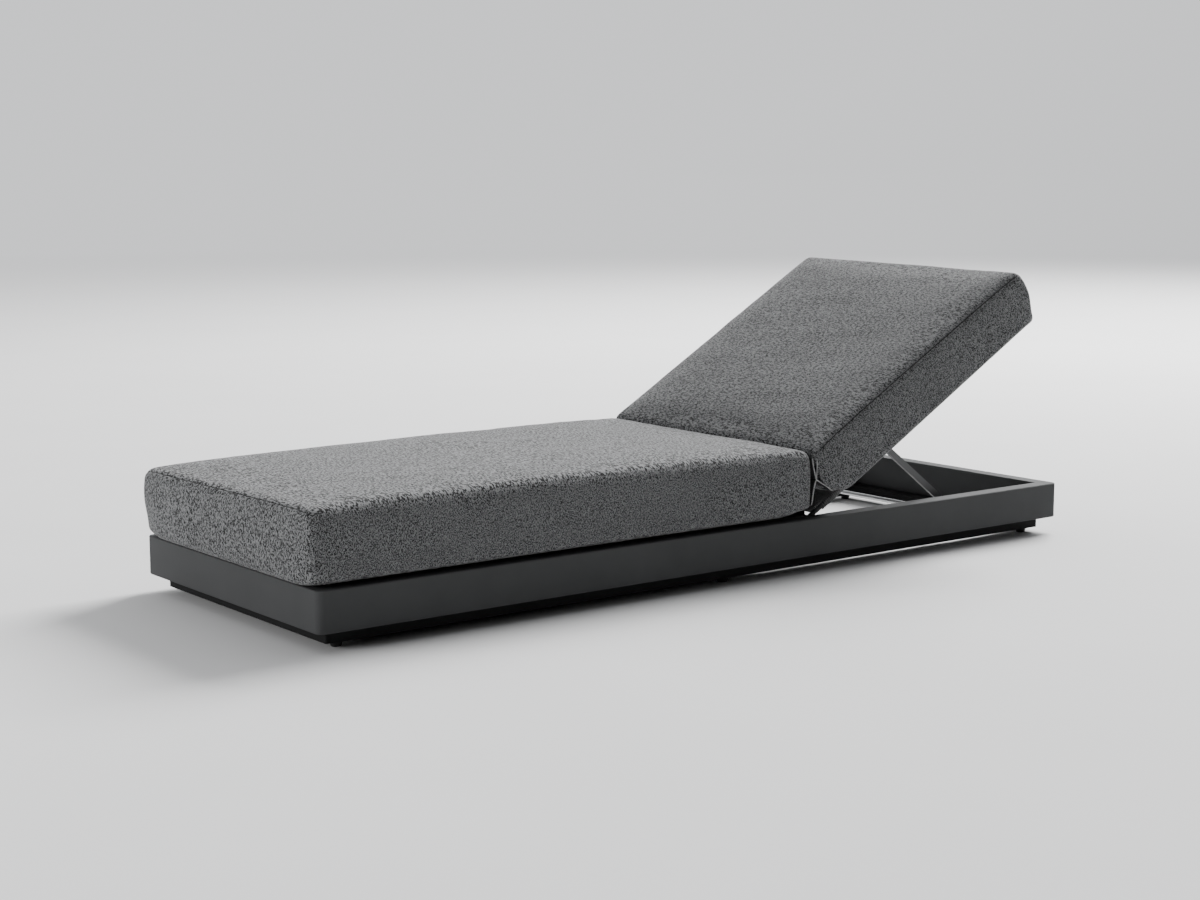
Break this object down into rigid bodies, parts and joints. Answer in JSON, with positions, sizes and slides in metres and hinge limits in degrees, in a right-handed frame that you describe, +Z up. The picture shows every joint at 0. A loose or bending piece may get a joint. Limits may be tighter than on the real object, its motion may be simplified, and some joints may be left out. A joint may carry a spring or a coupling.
{
  "type": "platform lounger",
  "caption": "Low platform lounger: mitred rail frame on an inset plinth, seat and tilting back beds, notched prop racks, thick loose cushions.",
  "frame": {"origin": "on the floor, under the centre of the rail frame", "axes": "+X towards the head end, +Y towards the lounger's left side as seen by someone lying on it with the head at +X, +Z up"},
  "size_m": [2.01, 0.722, 0.6309],
  "materials": {
    "frame_metal": "satin powder coat, charcoal grey",
    "plinth_metal": "satin powder coat, dark charcoal",
    "bed_metal": "satin powder coat, charcoal grey",
    "fastener_steel": "brushed stainless",
    "glide_plastic": "matt black moulded",
    "bearing_plastic": "matt black",
    "pad_rubber": "matt",
    "bed_cord": "flat woven synthetic cord, grey",
    "cushion_fabric": "grey melange plain weave",
    "fold_fabric": "grey melange plain weave, seam edges"
  },
  "bodies": {
    "base": {"foot_rail": "frame_metal", "head_rail": "frame_metal", "side_rail_right": "frame_metal", "side_rail_left": "frame_metal", "plinth_foot": "plinth_metal", "plinth_head": "plinth_metal", "plinth_right": "plinth_metal", "plinth_left": "plinth_metal", "foot_glides": "glide_plastic", "glide_studs": "fastener_steel", "bed_brackets": "frame_metal", "bracket_screws": "fastener_steel", "seat_bar_right": "bed_metal", "seat_bar_left": "bed_metal", "seat_cross_bars": "bed_metal", "seat_cords": "bed_cord", "cross_rail": "frame_metal", "hinge_bosses": "fastener_steel", "hinge_pins": "fastener_steel", "hinge_washers": "bearing_plastic", "prop_rack_right": "frame_metal", "prop_rack_left": "frame_metal", "rest_lugs": "frame_metal", "rest_pads": "pad_rubber", "seat_cushion": "cushion_fabric", "cushion_fold": "fold_fabric"},
    "backrest": {"back_bar_right": "bed_metal", "back_bar_left": "bed_metal", "back_cross_bars": "bed_metal", "prop_rod": "fastener_steel", "edge_windings": "bed_cord", "edge_sleeves": "bed_cord", "back_cords": "bed_cord", "prop_washers": "bearing_plastic", "prop_collars": "fastener_steel"},
    "prop": {"prop_leg_right": "bed_metal", "prop_leg_left": "bed_metal", "foot_rod": "fastener_steel"},
    "back_cushion": {"back_cushion": "cushion_fabric"}
  },
  "joints": [
    {"name": "backrest_tilt", "type": "hinge", "parent": "base", "child": "backrest", "pos_m": [0.2374, 0, 0.1094], "axis": [0, -1, 0], "range_deg": [-30, 30], "deforming": ["cushion_fold"]},
    {"name": "prop_swing", "type": "hinge", "parent": "backrest", "child": "prop", "pos_m": [0.47642, 0, 0.2474], "axis": [0, 1, 0], "range_deg": [-60.5, 60.5]},
    {"name": "back_cushion_slide", "type": "slide", "parent": "backrest", "child": "back_cushion", "axis": [0.866, 0, 0.5], "range_m": [-0.074, 0.074]}
  ],
  "couplings": [
    {"joint": "prop_swing", "follows": "backrest_tilt", "ratio": 2},
    {"joint": "back_cushion_slide", "follows": "backrest_tilt", "m_per_rad": 0.14}
  ]
}
